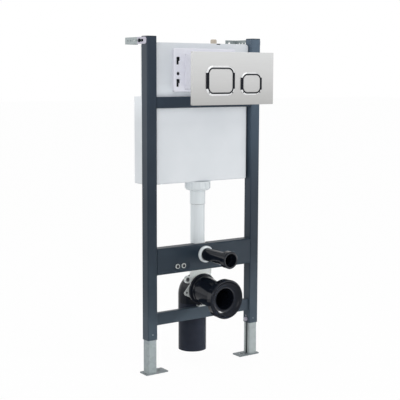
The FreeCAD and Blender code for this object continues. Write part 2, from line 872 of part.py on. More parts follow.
def make_pan_connector():
    plug = waste_r - waste_wall - plug_gap
    bore = plug - plug_wall
    back = -pan_shoulder
    neck_bore = pan_neck_r - pan_wall
    mouth = pan_front + pan_dish
    throat = mouth + pan_mouth_deep
    outer = turned([(0, plug_deep), (plug, plug_deep), (plug, 0), (waste_r, 0), (waste_r, back), (0, back)],
                   (0, 0, waste_height), "y")
    slim = pan_neck_r - pan_neck_step
    outer = outer.fuse(leaning_cone(pan_body_r, back, waste_height, slim, pan_neck, pan_height))
    cup = [(0, pan_neck), (pan_neck_r, pan_neck), (pan_flare_r, pan_rim_back + pan_flare_edge),
           (pan_rim_r, pan_rim_back), (pan_rim_r, pan_front + pan_rim_edge),
           (pan_rim_r - pan_rim_edge, pan_front), (0, pan_front)]
    outer = outer.fuse(turned(cup, (0, 0, pan_height), "y"))
    inner = cyl(bore, (0, back, waste_height), (0, 1, 0), plug_deep - back + past)
    wide = bore - pan_neck_step
    slim = neck_bore - pan_neck_step
    inner = inner.fuse(leaning_cone(wide, back, waste_height, slim, pan_neck, pan_height))
    dish = [(0, pan_neck), (neck_bore, pan_neck), (pan_mouth_r, throat), (pan_mouth_r, mouth),
            (pan_rim_r - pan_lip, pan_front), (pan_rim_r - pan_lip, pan_front - past), (0, pan_front - past)]
    inner = inner.fuse(turned(dish, (0, 0, pan_height), "y")).fuse(make_bowl())
    return outer.cut(inner).removeSplitter()


def make_hanger():
    y0 = hanger_front
    y1 = hanger_back
    z = waste_height
    t = hanger_thick
    body = box(-hanger_left, hanger_right, y0, y1, z, beam_low)
    body = body.fuse(box(-hanger_left, hanger_right, y0, y0 + hanger_foot, beam_low - t, beam_low))
    band = cyl(waste_r + hanger_band, (0, y0, z), (0, 1, 0), t)
    reach = waste_r + hanger_band + past
    body = body.fuse(band.cut(box(-reach, reach, y0 - past, y1 + past, z - reach, z - hanger_cut)))
    lug = [(-lug_root, lug_top), (-lug_reach, -lug_nose), (-lug_reach + lug_nose, -lug_chin),
           (-lug_tip, -hanger_cut)]
    pts = [V(x, y0, z + d) for x, d in lug]
    pts.append(pts[0])
    body = body.fuse(Part.Face(Part.makePolygon(pts)).extrude(V(0, t, 0)))
    body = body.fuse(cyl(ear_r, (-ear_x, y1 - ear_deep, z + ear_rise), (0, 1, 0), ear_deep))
    body = body.cut(cyl(waste_r + seat_gap, (0, 0, z), (0, 1, 0), y1 + past))
    body = body.cut(cyl(eye_r, (-ear_x, 0, z + ear_rise), (0, 1, 0), y1 + past))
    place = (-lug_reach + lug_hole_in, 0, z - lug_nose)
    return body.cut(cyl(lug_hole, place, (0, 1, 0), y1 + past)).removeSplitter()


def make_saddle():
    y0 = lower_bar_front
    z0 = lower_bar_high
    top = z0 + saddle_base
    body = box(-saddle_half, saddle_half, y0, saddle_back, z0, top)
    pitch = 2 * saddle_half / teeth
    for i in range(teeth):
        x = -saddle_half + pitch * i
        tip = top + tooth_tall
        tooth = [(x, z0), (x + pitch, z0), (x + pitch, top), (x + 0.7 * pitch, tip), (x + 0.4 * pitch, tip),
                 (x, top)]
        pts = [V(a, y0, b) for a, b in tooth]
        pts.append(pts[0])
        body = body.fuse(Part.Face(Part.makePolygon(pts)).extrude(V(0, tooth_thick, 0)))
    cradle = box(-saddle_half, saddle_half, hanger_back + seat_gap, saddle_back, z0, top + cradle_tall)
    pipe = cyl(waste_r + seat_gap, (0, hanger_front, waste_height), (0, 1, 0), saddle_back)
    return body.fuse(cradle.cut(pipe)).removeSplitter()


nodes["waste_bend"] = make_waste_bend()
nodes["waste_spigot"] = make_spigot()
nodes["waste_ring"] = make_waste_ring()
nodes["pan_connector"] = make_pan_connector()
nodes["waste_hanger"] = make_hanger()
nodes["waste_saddle"] = make_saddle()


# Every piece goes to its own file, moved so that the wall flange holds the origin
for name, shape in nodes.items():
    piece = shape.copy()
    piece.translate(-origin)
    solids = piece.Solids
    expected = 2 if name.endswith("bushes") else 1
    if len(solids) != expected:
        print("check", name, "has", len(solids), "solids")
    if not piece.isValid():
        print("check", name, "is not valid")
    whole = solids[0] if len(solids) == 1 else Part.makeCompound(solids)
    whole.exportStep("parts/" + name + ".step")
print(len(nodes), "pieces")
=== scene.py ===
import json
import math

import bmesh
import bpy
from mathutils import Matrix, Vector


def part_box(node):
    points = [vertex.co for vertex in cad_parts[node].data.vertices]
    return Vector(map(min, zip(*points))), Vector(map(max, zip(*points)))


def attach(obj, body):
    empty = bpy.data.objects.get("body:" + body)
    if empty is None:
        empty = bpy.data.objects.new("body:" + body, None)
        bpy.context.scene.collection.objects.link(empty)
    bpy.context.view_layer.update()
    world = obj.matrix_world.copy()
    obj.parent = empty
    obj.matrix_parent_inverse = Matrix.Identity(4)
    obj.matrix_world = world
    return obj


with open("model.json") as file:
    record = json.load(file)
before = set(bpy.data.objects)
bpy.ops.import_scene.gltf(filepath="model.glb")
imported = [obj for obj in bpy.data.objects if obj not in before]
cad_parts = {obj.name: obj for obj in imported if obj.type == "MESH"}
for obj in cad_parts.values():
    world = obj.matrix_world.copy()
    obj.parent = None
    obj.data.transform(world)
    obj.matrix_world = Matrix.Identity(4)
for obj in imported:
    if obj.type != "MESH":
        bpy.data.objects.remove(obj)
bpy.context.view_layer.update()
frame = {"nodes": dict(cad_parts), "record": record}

MM = 0.001

# Where the drawing's zero (middle of the frame, front of the uprights, floor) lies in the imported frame
ZERO = Vector((211.0, -142.0, -1130.5)) * MM


def at(x, y, z):
    """A point given in the drawing's millimetres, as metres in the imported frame."""
    return Vector((x, y, z)) * MM + ZERO


# Finishes

def new_finish(name):
    """An empty material with its shader, ready for nodes."""
    mat = bpy.data.materials.new(name)
    mat.use_nodes = True
    tree = mat.node_tree
    shader = tree.nodes["Principled BSDF"]
    coords = tree.nodes.new("ShaderNodeTexCoord")
    return mat, tree, shader, coords.outputs["Object"]


def stretched(tree, coords, scale):
    """Coordinates scaled by axis, so that a pattern runs along one of them."""
    mapping = tree.nodes.new("ShaderNodeMapping")
    mapping.inputs["Scale"].default_value = scale
    tree.links.new(coords, mapping.inputs["Vector"])
    return mapping.outputs["Vector"]


def cloud(tree, coords, scale, detail=3.0, roughness=0.55):
    """Soft noise from 0 to 1."""
    noise = tree.nodes.new("ShaderNodeTexNoise")
    noise.inputs["Scale"].default_value = scale
    noise.inputs["Detail"].default_value = detail
    noise.inputs["Roughness"].default_value = roughness
    tree.links.new(coords, noise.inputs["Vector"])
    return noise.outputs["Fac"]


def ramp(tree, factor, stops):
    """A colour that follows a factor through stops of place and colour."""
    node = tree.nodes.new("ShaderNodeValToRGB")
    ends = node.color_ramp.elements
    ends[0].position, ends[0].color = stops[0][0], (*stops[0][1], 1.0)
    ends[1].position, ends[1].color = stops[-1][0], (*stops[-1][1], 1.0)
    for position, colour in stops[1:-1]:
        ends.new(position).color = (*colour, 1.0)
    tree.links.new(factor, node.inputs["Fac"])
    return node.outputs["Color"]


def spread(tree, factor, low, high):
    """A factor of 0 to 1, spread between two values."""
    node = tree.nodes.new("ShaderNodeMapRange")
    node.inputs["To Min"].default_value = low
    node.inputs["To Max"].default_value = high
    tree.links.new(factor, node.inputs["Value"])
    return node.outputs["Result"]


def height_share(tree, coords, low, high):
    """How far up a point lies between two heights, from 0 to 1."""
    split = tree.nodes.new("ShaderNodeSeparateXYZ")
    tree.links.new(coords, split.inputs["Vector"])
    rise = tree.nodes.new("ShaderNodeMapRange")
    rise.inputs["From Min"].default_value = low
    rise.inputs["From Max"].default_value = high
    tree.links.new(split.outputs["Z"], rise.inputs["Value"])
    return rise.outputs["Result"]


def multiplied(tree, one, other):
    """One colour times another."""
    blend = tree.nodes.new("ShaderNodeMix")
    blend.data_type = "RGBA"
    blend.blend_type = "MULTIPLY"
    blend.inputs["Factor"].default_value = 1.0
    tree.links.new(one, blend.inputs["A"])
    tree.links.new(other, blend.inputs["B"])
    return blend.outputs["Result"]


def painted_side_shade(tree, tone):
    """Painted shade: one on faces that look forward, back, up or down, and the given darker tone on the
    left and right sides.
    """
    surface = tree.nodes.new("ShaderNodeNewGeometry")
    facing = tree.nodes.new("ShaderNodeSeparateXYZ")
    tree.links.new(surface.outputs["Normal"], facing.inputs["Vector"])
    sideways = tree.nodes.new("ShaderNodeMath")
    sideways.operation = "ABSOLUTE"
    tree.links.new(facing.outputs["X"], sideways.inputs[0])
    return ramp(tree, sideways.outputs[0], [(0.3, (1.0, 1.0, 1.0)), (0.8, (tone, tone, tone))])


def bumped(tree, shader, height, strength, distance):
    """Raises the surface by a pattern."""
    bump = tree.nodes.new("ShaderNodeBump")
    bump.inputs["Strength"].default_value = strength
    bump.inputs["Distance"].default_value = distance
    tree.links.new(height, bump.inputs["Height"])
    tree.links.new(bump.outputs["Normal"], shader.inputs["Normal"])


def linear(r, g, b):
    """A colour given as seen on screen, 0 to 255, in linear light."""
    out = []
    for c in (r / 255.0, g / 255.0, b / 255.0):
        out.append(c / 12.92 if c <= 0.04045 else ((c + 0.055) / 1.055) ** 2.4)
    return tuple(out)


# Painted light and shade on the paint by height, from the foot of an upright to its top: share of the way
# up, and tone.
# The right upright has painted light and shade of its own, much paler towards its top.
PAINTED_LIGHT_BY_HEIGHT = [(0.0, (1.1, 1.1, 1.1)), (0.06, (1.0, 1.0, 1.0)), (0.16, (0.59, 0.66, 0.7)),
              (0.45, (0.36, 0.46, 0.55)), (0.66, (0.66, 0.7, 0.76)), (1.0, (0.94, 0.94, 1.0))]
RIGHT_PAINTED_LIGHT_BY_HEIGHT = [(0.0, (1.25, 1.25, 1.25)), (0.12, (1.05, 1.05, 1.05)), (0.25, (0.42, 0.52, 0.6)),
              (0.45, (0.52, 0.58, 0.66)), (0.56, (0.95, 1.0, 1.06)), (0.73, (1.8, 1.85, 1.9)),
              (1.0, (2.7, 2.7, 2.7))]


def powder_coat(name="powder_coat_slate", painted_light_by_height=PAINTED_LIGHT_BY_HEIGHT):
    """Slate powder coat on the steel frame, with painted light and shade over its height."""
    mat, tree, shader, coords = new_finish(name)
    patch = cloud(tree, coords, scale=9.0, detail=4.0)
    colour = ramp(tree, patch, [(0.3, linear(51, 61, 71)), (0.7, linear(57, 68, 78))])
    low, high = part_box("left_upright")
    height = height_share(tree, coords, low.z, high.z)
    # painted light and shade: the paint is darkened in the middle of the frame and paled at its foot and
    # top
    tree.links.new(multiplied(tree, colour, ramp(tree, height, painted_light_by_height)), shader.inputs["Base Color"])
    grain = cloud(tree, coords, scale=900.0, detail=2.0)
    tree.links.new(spread(tree, grain, low=0.34, high=0.46), shader.inputs["Roughness"])
    shader.inputs["Specular IOR Level"].default_value = 0.16
    bumped(tree, shader, grain, strength=0.2, distance=0.0003)
    return mat


def plug_plastic():
    """Dark finish of the plugs, the latch sockets, the bracket bolts and other small trim."""
    mat, tree, shader, coords = new_finish("plug_plastic_dark")
    grain = cloud(tree, coords, scale=700.0, detail=2.0)
    colour = ramp(tree, grain, [(0.3, linear(28, 33, 39)), (0.7, linear(36, 41, 48))])
    tree.links.new(colour, shader.inputs["Base Color"])
    tree.links.new(spread(tree, grain, low=0.45, high=0.6), shader.inputs["Roughness"])
    shader.inputs["Specular IOR Level"].default_value = 0.2
    bumped(tree, shader, grain, strength=0.2, distance=0.0003)
    return mat


# How much darker or paler than their tone zinc flowers are, as seen on screen
FLOWER_CONTRAST = 5


def galvanised_steel(name, tone):
    """Zinc flowers a little darker and paler than a tone given as seen on screen."""
    mat, tree, shader, coords = new_finish(name)
    cells = tree.nodes.new("ShaderNodeTexVoronoi")
    cells.inputs["Scale"].default_value = 90.0
    tree.links.new(coords, cells.inputs["Vector"])
    split = tree.nodes.new("ShaderNodeSeparateColor")
    tree.links.new(cells.outputs["Color"], split.inputs["Color"])
    dark = [c - FLOWER_CONTRAST for c in tone]
    pale = [c + FLOWER_CONTRAST for c in tone]
    colour = ramp(tree, split.outputs["Red"], [(0.0, linear(*dark)), (1.0, linear(*pale))])
    tree.links.new(colour, shader.inputs["Base Color"])
    shader.inputs["Metallic"].default_value = 0.3
    tree.links.new(spread(tree, split.outputs["Green"], low=0.46, high=0.56), shader.inputs["Roughness"])
    bumped(tree, shader, cloud(tree, coords, scale=400.0), strength=0.06, distance=0.0003)
    return mat


def bright_zinc():
    """Bright zinc plating with a lilac cast, smeared sideways."""
    mat, tree, shader, coords = new_finish("bright_zinc")
    smear = cloud(tree, stretched(tree, coords, (1.0, 1.0, 6.0)), scale=120.0)
    colour = ramp(tree, smear, [(0.25, linear(160, 158, 170)), (0.75, linear(180, 178, 191))])
    tree.links.new(colour, shader.inputs["Base Color"])
    shader.inputs["Metallic"].default_value = 0.35
    tree.links.new(spread(tree, smear, low=0.36, high=0.48), shader.inputs["Roughness"])
    bumped(tree, shader, smear, strength=0.1, distance=0.0003)
    return mat


def plain_zinc():
    """Plain zinc plating on the hanger, the saddle and the stud bushes."""
    mat, tree, shader, coords = new_finish("plain_zinc")
    grain = cloud(tree, coords, scale=240.0, detail=4.0)
    colour = ramp(tree, grain, [(0.3, linear(175, 180, 179)), (0.7, linear(196, 200, 199))])
    tree.links.new(colour, shader.inputs["Base Color"])
    shader.inputs["Metallic"].default_value = 0.3
    tree.links.new(spread(tree, grain, low=0.38, high=0.52), shader.inputs["Roughness"])
    bumped(tree, shader, grain, strength=0.1, distance=0.0003)
    return mat


# Painted light makes the cistern paler round the tank's top edge, against the shade under the crossbar:
# millimetres below and above that edge, share of the way between them with its tone, and the painted shade
# on its left and right sides
PAINTED_LIGHT_BELOW = 90.0
PAINTED_LIGHT_ABOVE = 45.0
PAINTED_LIGHT_AT_TANK_TOP = [(0.0, (1.0, 1.0, 1.0)), (0.6, (1.2, 1.2, 1.2)), (0.72, (1.2, 1.2, 1.2)), (1.0, (1.0, 1.0, 1.0))]
CISTERN_PAINTED_SIDE_SHADE = 0.87


def cistern_plastic():
    """White moulded plastic of the cistern, with painted shade on its sides and painted light round the
    tank's top edge.
    """
    mat, tree, shader, coords = new_finish("cistern_plastic_white")
    patch = cloud(tree, coords, scale=7.0, detail=3.0)
    colour = ramp(tree, patch, [(0.3, linear(215, 220, 224)), (0.7, linear(222, 226, 230))])
    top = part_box("cistern_tank")[1].z
    # painted light: paler round the tank's top edge, where shade falls under the crossbar and the plate
    rise = height_share(tree, coords, top - PAINTED_LIGHT_BELOW * MM, top + PAINTED_LIGHT_ABOVE * MM)
    colour = multiplied(tree, colour, ramp(tree, rise, PAINTED_LIGHT_AT_TANK_TOP))
    # painted shade: darker on the cistern's left and right sides
    tree.links.new(multiplied(tree, colour, painted_side_shade(tree, CISTERN_PAINTED_SIDE_SHADE)), shader.inputs["Base Color"])
    grain = cloud(tree, coords, scale=1100.0, detail=2.0)
    tree.links.new(spread(tree, grain, low=0.42, high=0.56), shader.inputs["Roughness"])
    shader.inputs["Specular IOR Level"].default_value = 0.3
    bumped(tree, shader, grain, strength=0.1, distance=0.0002)
    return mat


def cover_plastic():
    """Cooler white plastic of the access panel, the shaft and the plate's carrier: its cool tint is its
    own, its paleness painted light against the plate's shadow.
    """
    mat, tree, shader, coords = new_finish("cover_plastic_painted_light")
    patch = cloud(tree, coords, scale=9.0, detail=3.0)
    # painted light: a paler white than the tank, against the shadow that the plate casts
    colour = ramp(tree, patch, [(0.3, linear(226, 227, 235)), (0.7, linear(232, 233, 240))])
    tree.links.new(colour, shader.inputs["Base Color"])
    grain = cloud(tree, coords, scale=1100.0, detail=2.0)
    tree.links.new(spread(tree, grain, low=0.4, high=0.5), shader.inputs["Roughness"])
    shader.inputs["Specular IOR Level"].default_value = 0.3
    bumped(tree, shader, grain, strength=0.1, distance=0.0002)
    return mat


def pipe_plastic():
    """White drawn plastic of the flush pipe, streaked along its length."""
    mat, tree, shader, coords = new_finish("pipe_plastic_white")
    streak = cloud(tree, stretched(tree, coords, (40.0, 40.0, 2.0)), scale=3.0)
    colour = ramp(tree, streak, [(0.3, linear(212, 218, 221)), (0.7, linear(220, 226, 229))])
    tree.links.new(colour, shader.inputs["Base Color"])
    tree.links.new(spread(tree, streak, low=0.4, high=0.52), shader.inputs["Roughness"])
    shader.inputs["Specular IOR Level"].default_value = 0.25
    bumped(tree, shader, streak, strength=0.05, distance=0.0003)
    return mat


def inlet_plastic():
    """Beige plastic of the inlet cap."""
    mat, tree, shader, coords = new_finish("inlet_plastic_beige")
    patch = cloud(tree, coords, scale=60.0)
    colour = ramp(tree, patch, [(0.3, linear(190, 178, 162)), (0.7, linear(204, 194, 180))])
    tree.links.new(colour, shader.inputs["Base Color"])
    tree.links.new(spread(tree, patch, low=0.4, high=0.55), shader.inputs["Roughness"])
    bumped(tree, shader, cloud(tree, coords, scale=600.0), strength=0.1, distance=0.0003)
    return mat


def drain_plastic(name="drain_plastic_black", dark=(14, 18, 26), pale=(19, 23, 32), gloss=0.15):
    """Black plastic of the waste and the connectors."""
    mat, tree, shader, coords = new_finish(name)
    flow = cloud(tree, coords, scale=30.0, detail=4.0)
    colour = ramp(tree, flow, [(0.3, linear(*dark)), (0.7, linear(*pale))])
    tree.links.new(colour, shader.inputs["Base Color"])
    tree.links.new(spread(tree, flow, low=0.06, high=0.12), shader.inputs["Roughness"])
    shader.inputs["Specular IOR Level"].default_value = gloss
    bumped(tree, shader, cloud(tree, coords, scale=420.0), strength=0.06, distance=0.0003)
    return mat


def thread_steel():
    """Dark steel of the threads in the stud bushes, darkened as painted shade inside their bores."""
    mat, tree, shader, coords = new_finish("thread_steel_painted_shade")
    grain = cloud(tree, coords, scale=500.0, detail=2.0)
    colour = ramp(tree, grain, [(0.3, linear(38, 42, 47)), (0.7, linear(56, 60, 66))])
    tree.links.new(colour, shader.inputs["Base Color"])
    shader.inputs["Metallic"].default_value = 0.4
    tree.links.new(spread(tree, grain, low=0.4, high=0.55), shader.inputs["Roughness"])
    bumped(tree, shader, grain, strength=0.1, distance=0.0002)
    return mat


# Painted light on the flush plate by height, darker towards its foot: share of the way up with its tone,
# and the painted shade on its left and right sides
PLATE_PAINTED_LIGHT_BY_HEIGHT = [(0.0, linear(184, 184, 183)), (0.45, linear(207, 207, 207)), (1.0, linear(221, 222, 222))]
PLATE_PAINTED_SIDE_SHADE = 0.72


def flush_steel():
    """Satin steel of the flush plate, brushed across, with painted light paler towards its top and painted
    shade on its sides.
    """
    mat, tree, shader, coords = new_finish("flush_plate_satin")
    brush = cloud(tree, stretched(tree, coords, (6.0, 60.0, 900.0)), scale=2.0, detail=4.0)
    low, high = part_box("flush_plate")
    # painted light: the plate is darker towards its foot and paler towards its top
    shade = ramp(tree, height_share(tree, coords, low.z, high.z), PLATE_PAINTED_LIGHT_BY_HEIGHT)
    streak = ramp(tree, brush, [(0.3, (0.93, 0.93, 0.925)), (0.7, (1.0, 1.0, 1.0))])
    # painted shade on the plate's left and right sides
    shade = multiplied(tree, shade, painted_side_shade(tree, PLATE_PAINTED_SIDE_SHADE))
    tree.links.new(multiplied(tree, shade, streak), shader.inputs["Base Color"])
    shader.inputs["Metallic"].default_value = 0.75
    tree.links.new(spread(tree, brush, low=0.3, high=0.44), shader.inputs["Roughness"])
    bumped(tree, shader, brush, strength=0.05, distance=0.0002)
    return mat


def ring_chrome():
    """Polished chrome of the rings round the buttons."""
    mat, tree, shader, coords = new_finish("ring_chrome")
    haze = cloud(tree, coords, scale=80.0)
    colour = ramp(tree, haze, [(0.3, linear(226, 228, 230)), (0.7, linear(238, 239, 240))])
    tree.links.new(colour, shader.inputs["Base Color"])
    shader.inputs["Metallic"].default_value = 1.0
    tree.links.new(spread(tree, haze, low=0.05, high=0.12), shader.inputs["Roughness"])
    return mat


# The finish of each material slot
FINISH = {
    "frame_paint": powder_coat(),
    "cap_black": plug_plastic(),
    "galvanised": galvanised_steel("galvanised_spangle", (149, 158, 159)),
    "zinc": bright_zinc(),
    "cistern_white": cistern_plastic(),
    "flush_steel": flush_steel(),
    "ring_chrome": ring_chrome(),
    "inlet_beige": inlet_plastic(),
    "pipe_white": pipe_plastic(),
    "drain_black": drain_plastic(),
}

for entry in frame["record"]["subparts"]:
    node = frame["nodes"][entry["node"]]
    node.data.materials.clear()
    node.data.materials.append(FINISH[entry["material_slot"]])

# Pieces whose finish differs from the rest of their slot
OWN_FINISH = {
    # The right upright's paint carries painted light, much paler towards its top.
    powder_coat("powder_coat_painted_light", RIGHT_PAINTED_LIGHT_BY_HEIGHT): ("right_upright",),
    cover_plastic(): ("access_panel", "access_shaft", "plate_carrier"),
    plain_zinc(): ("waste_hanger", "waste_saddle", "left_stud_bushes", "right_stud_bushes"),
    # The foot plates are a darker copy of the galvanised steel: painted shade on their top faces.
    galvanised_steel("foot_galvanised_painted_shade", (118, 126, 129)): ("left_foot_plate", "right_foot_plate"),
    # The left leg is a darker and the right leg a paler copy of the galvanised steel: painted shade and
    # painted light.
    galvanised_steel("left_leg_galvanised_painted_shade", (138, 147, 149)): ("left_leg",),
    galvanised_steel("right_leg_galvanised_painted_light", (157, 165, 166)): ("right_leg",),
    drain_plastic("bend_plastic_black", (22, 25, 31), (27, 30, 36), gloss=0.08): ("waste_bend",),
    # The spigot is a paler slate copy of the black plastic: a painted reflection of the studio on it.
    drain_plastic("spigot_plastic_painted_reflection", (36, 40, 50), (42, 46, 56), gloss=0.06): ("waste_spigot",),
}
for finish, names in OWN_FINISH.items():
    for name in names:
        frame["nodes"][name].data.materials[0] = finish


# Small pieces, each modelled from a primitive in edit mode, with sizes in millimetres

# A face or edge counts as looking along an axis when its direction has at least this share of it
ALONG = 0.9
SMOOTH_UNDER = math.radians(35.0)


def clear_selection():
    """Leaves edit mode and deselects everything."""
    if bpy.context.object and bpy.context.object.mode != "OBJECT":
        bpy.ops.object.mode_set(mode="OBJECT")
    bpy.ops.object.select_all(action="DESELECT")


def open_mesh(piece):
    """Goes into edit mode on one piece, with nothing selected."""
    clear_selection()
    piece.select_set(True)
    bpy.context.view_layer.objects.active = piece
    bpy.ops.object.mode_set(mode="EDIT")
    bpy.ops.mesh.select_all(action="DESELECT")


def close_mesh():
    """Goes back to object mode."""
    bpy.ops.object.mode_set(mode="OBJECT")


def pick_faces(piece, wanted):
    """Selects the faces whose middle and normal are wanted."""
    bpy.ops.mesh.select_mode(type="FACE")
    bpy.ops.mesh.select_all(action="DESELECT")
    mesh = bmesh.from_edit_mesh(piece.data)
    for face in mesh.faces:
        face.select_set(wanted(face.calc_center_median(), face.normal))
    bmesh.update_edit_mesh(piece.data)


def pick_edges(piece, wanted):
    """Selects the edges whose middle and direction are wanted."""
    bpy.ops.mesh.select_mode(type="EDGE")
    bpy.ops.mesh.select_all(action="DESELECT")
    mesh = bmesh.from_edit_mesh(piece.data)
    for edge in mesh.edges:
        a, b = edge.verts[0].co, edge.verts[1].co
        edge.select_set(wanted((a + b) / 2, (b - a).normalized()))
    bmesh.update_edit_mesh(piece.data)


def pull(x=0.0, y=0.0, z=0.0):
    """Extrudes the picked faces, in millimetres."""
    bpy.ops.mesh.extrude_region_move(TRANSFORM_OT_translate={"value": Vector((x, y, z)) * MM})


def inset(thickness, depth=0.0):
    """Insets the picked faces, in millimetres."""
    bpy.ops.mesh.inset(thickness=thickness * MM, depth=depth * MM)


def apply_modifier(piece, modifier):
    """Turns a modifier into mesh."""
    clear_selection()
    piece.select_set(True)
    bpy.context.view_layer.objects.active = piece
    bpy.ops.object.modifier_apply(modifier=modifier.name)


def soften(piece, width, segments=2):
    """Breaks the sharp edges of a finished shape."""
    edge = piece.modifiers.new("soft_edges", "BEVEL")
    edge.width = width * MM
    edge.segments = segments
    edge.limit_method = "ANGLE"
    apply_modifier(piece, edge)


def joined(pieces):
    """Several meshes as one piece."""
    clear_selection()
    for piece in pieces:
        piece.select_set(True)
    bpy.context.view_layer.objects.active = pieces[0]
    bpy.ops.object.join()
    return bpy.context.object


def placed_copy(model, name, place, turn, body, slot):
    """A copy of a model with its own mesh, turned and put at its place."""
    clear_selection()
    model.select_set(True)
    bpy.context.view_layer.objects.active = model
    bpy.ops.object.duplicate(linked=False)
    piece = bpy.context.object
    piece.matrix_world = Matrix.Translation(place) @ turn
    bpy.ops.object.transform_apply(location=True, rotation=True, scale=True)
    bpy.ops.object.shade_smooth_by_angle(angle=SMOOTH_UNDER)
    piece.name = name
    piece.data.name = name
    piece.data.materials.clear()
    piece.data.materials.append(FINISH[slot])
    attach(piece, body)
    return piece


def put_away(model):
    """Removes a model once its copies are placed."""
    bpy.data.objects.remove(model)


# Turns that point a model's +Z up, down, to the front, right or left
UP = Matrix.Identity(4)
DOWN = Matrix.Rotation(math.pi, 4, "X")
TO_FRONT = Matrix.Rotation(math.pi / 2, 4, "X")
TO_RIGHT = Matrix.Rotation(math.pi / 2, 4, "Y")
TO_LEFT = Matrix.Rotation(-math.pi / 2, 4, "Y")


def model_bolt(across, head_tall, washer_r, washer_tall, shank_r, shank_long):
    """A hex head on a washer with a sloped rim that seats at zero, and its chamfered shank below."""
    clear_selection()
    bpy.ops.mesh.primitive_cylinder_add(vertices=32, radius=washer_r * MM, depth=washer_tall * MM,
                                        location=(0, 0, washer_tall / 2 * MM))
    washer = bpy.context.object
    bpy.ops.object.transform_apply(location=True)
    open_mesh(washer)
    pick_faces(washer, lambda middle, normal: normal.z > ALONG)
    inset(thickness=0.8, depth=0.25)
    pick_faces(washer, lambda middle, normal: normal.z < -ALONG)
    inset(washer_r - shank_r)
    pull(z=-shank_long)
    inset(thickness=0.7, depth=0.7)
    close_mesh()
    clear_selection()
    bpy.ops.mesh.primitive_cylinder_add(vertices=6, radius=across / math.sqrt(3) * MM, depth=head_tall * MM,
                                        location=(0, 0, (washer_tall + head_tall / 2) * MM))
    head = bpy.context.object
    bpy.ops.object.transform_apply(location=True)
    open_mesh(head)
    pick_faces(head, lambda middle, normal: normal.z > ALONG)
    inset(thickness=0.9, depth=0.5)
    inset(thickness=1.2, depth=-0.25)
    close_mesh()
    soften(head, width=0.25)
    return joined([washer, head])


# Steps of a rivet's dome, as shares of its radius and of its height
RIVET_DOME = ((0.18, 0.34), (0.26, 0.22), (0.28, 0.1))


def model_rivet(radius, tall):
    """A low domed head that stands on zero, its foot a little sunk."""
    clear_selection()
    bpy.ops.mesh.primitive_cylinder_add(vertices=28, radius=radius * MM, depth=0.4 * tall * MM,
                                        location=(0, 0, 0.1 * tall * MM))
    rivet = bpy.context.object
    bpy.ops.object.transform_apply(location=True)
    open_mesh(rivet)
    pick_faces(rivet, lambda middle, normal: normal.z > ALONG)
    for step_in, step_up in RIVET_DOME:
        inset(step_in * radius, step_up * tall)
    close_mesh()
    return rivet


# Drops of a weld: pitch, length and melting grain as shares of the bead's radius
DROP_PITCH = 0.8
DROP_LENGTH = 0.7
MELT_GRAIN = 0.28


def model_weld(length, radius):
    """A run of weld along Y: overlapping drops melted into one bead."""
    pitch = DROP_PITCH * radius
    clear_selection()
    bpy.ops.mesh.primitive_uv_sphere_add(segments=16, ring_count=10, radius=radius * MM,
                                         location=(0, -length / 2 * MM, 0))
    bead = bpy.context.object
    bpy.ops.object.transform_apply(location=True)
    open_mesh(bead)
    bpy.ops.mesh.select_all(action="SELECT")
    bpy.ops.transform.resize(value=(1.0, DROP_LENGTH, 1.0), center_override=(0, -length / 2 * MM, 0))
    close_mesh()
    row = bead.modifiers.new("drops", "ARRAY")
    row.use_relative_offset = False
    row.use_constant_offset = True
    row.constant_offset_displace = (0, pitch * MM, 0)
    row.count = int(length / pitch) + 1
    apply_modifier(bead, row)
    melt = bead.modifiers.new("melt", "REMESH")
    melt.mode = "VOXEL"
    melt.voxel_size = MELT_GRAIN * radius * MM
    apply_modifier(bead, melt)
    return bead


# A thread's ridge: root as a share of the pitch, crest as a share of the root, steps to a turn, and
# how near, in metres, corners are merged
RIDGE_ROOT = 0.8
RIDGE_CREST = 0.18
TURN_STEPS = 28
SAME_POINT = 0.00001


def model_thread(outer, inner, pitch, turns):
    """An inside thread as one ridge that climbs along Z."""
    clear_selection()
    wide = RIDGE_ROOT * pitch
    bpy.ops.mesh.primitive_plane_add(size=1.0, location=((outer + inner) / 2 * MM, 0, 0),
                                     rotation=(math.pi / 2, 0, 0))
    ridge = bpy.context.object
    ridge.scale = ((outer - inner) * MM, wide * MM, 1.0)
    bpy.ops.object.transform_apply(location=True, rotation=True, scale=True)
    open_mesh(ridge)
    middle_r = (outer + inner) / 2 * MM
    pick_edges(ridge, lambda middle, run: abs(run.z) > ALONG and middle.x < middle_r)
    bpy.ops.transform.resize(value=(1.0, 1.0, RIDGE_CREST), center_override=(inner * MM, 0, 0))
    bpy.ops.mesh.select_all(action="SELECT")
    bpy.ops.mesh.delete(type="ONLY_FACE")
    close_mesh()
    climb = ridge.modifiers.new("climb", "SCREW")
    climb.axis = "Z"
    climb.steps = TURN_STEPS
    climb.render_steps = TURN_STEPS
    climb.screw_offset = pitch * MM
    climb.iterations = turns
    apply_modifier(ridge, climb)
    open_mesh(ridge)
    bpy.ops.mesh.select_all(action="SELECT")
    bpy.ops.mesh.remove_doubles(threshold=SAME_POINT)
    bpy.ops.mesh.fill_holes(sides=4)
    bpy.ops.mesh.select_all(action="SELECT")
    bpy.ops.mesh.normals_make_consistent(inside=False)
    close_mesh()
    return ridge


# A latch socket's rounded corners, wall, floor and the groove in its floor
SOCKET_ROUND = 2.0
SOCKET_WALL = 1.2
SOCKET_FLOOR = 2.0
SOCKET_GROOVE = {"thickness": 1.5, "depth": 0.8}


